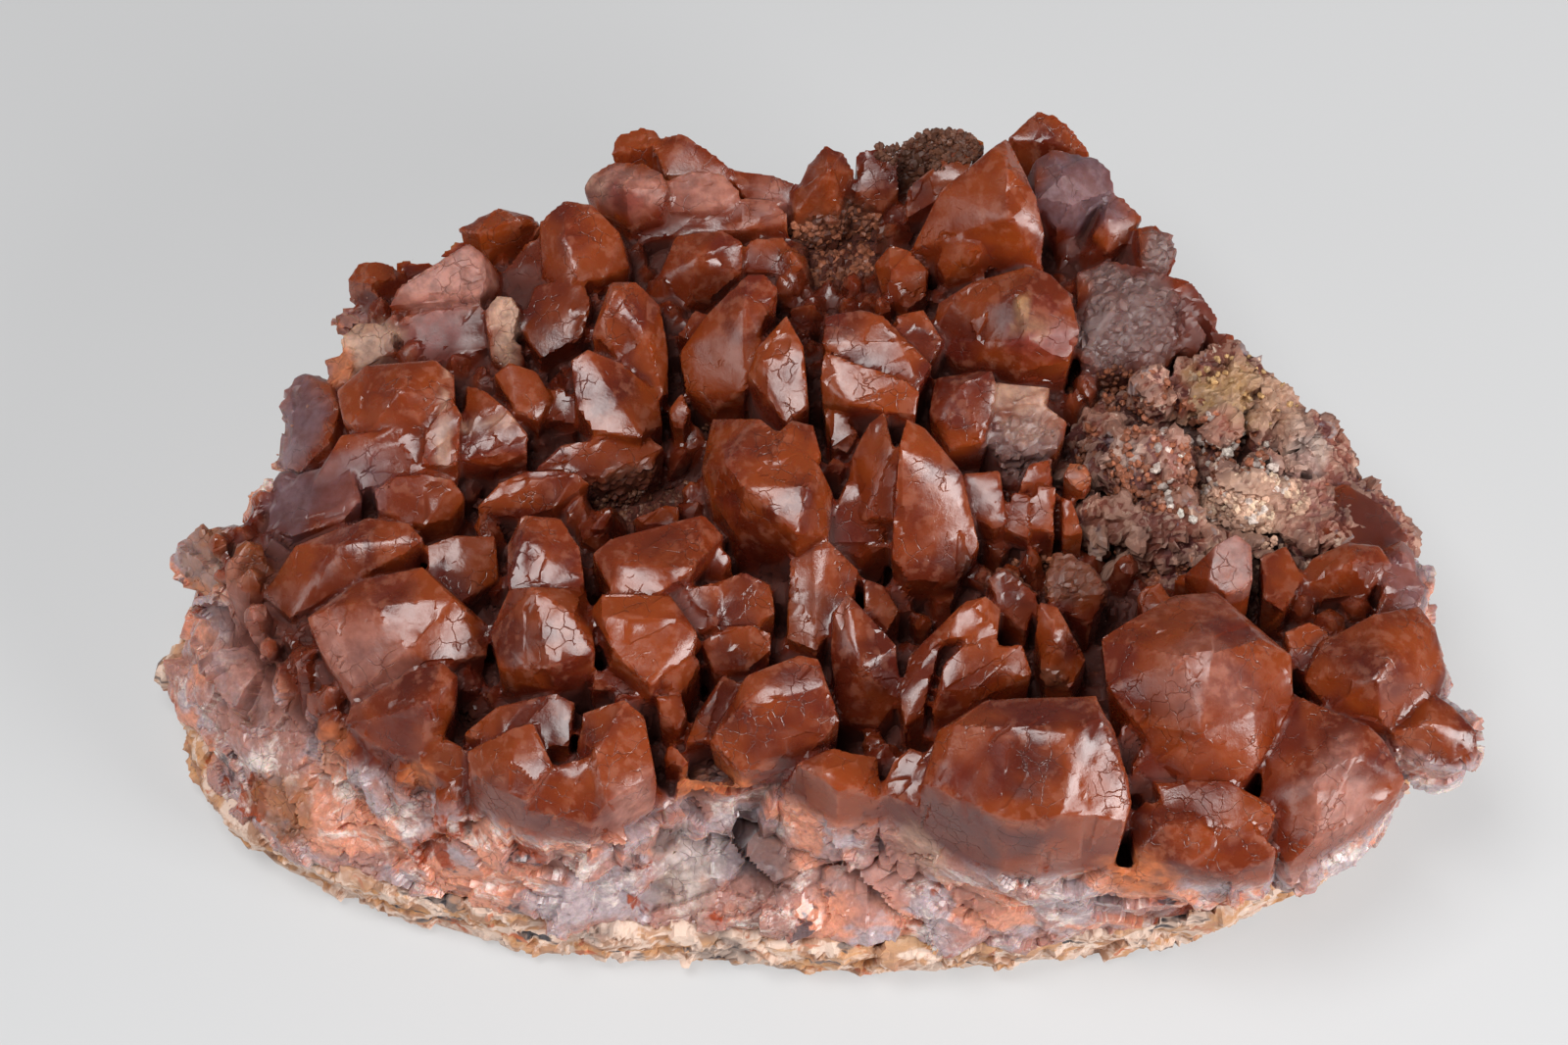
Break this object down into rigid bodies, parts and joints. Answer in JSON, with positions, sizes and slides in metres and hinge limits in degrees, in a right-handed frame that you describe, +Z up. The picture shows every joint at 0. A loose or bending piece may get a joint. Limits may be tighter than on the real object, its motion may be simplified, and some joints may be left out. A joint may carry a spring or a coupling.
{
  "type": "hematoid quartz on matrix",
  "caption": "Natural cluster of rust-red, iron-stained quartz crystals grown as a crust on a slab of host rock, lying flat.",
  "frame": {"origin": "middle of the bounding box, on the flat resting face", "axes": "+Z up, +X along the length to the right as pictured, +Y to the back"},
  "size_m": [0.167, 0.1132, 0.05],
  "materials": {
    "host_rock": "rough, crumbly host rock, cream to ochre with grey-black layers",
    "red_quartz": "glossy translucent quartz with rust-red hematite inclusions"
  },
  "bodies": {
    "root": {"matrix": "host_rock", "quartz_crystals": "red_quartz", "lone_crystal": "red_quartz"}
  },
  "joints": []
}
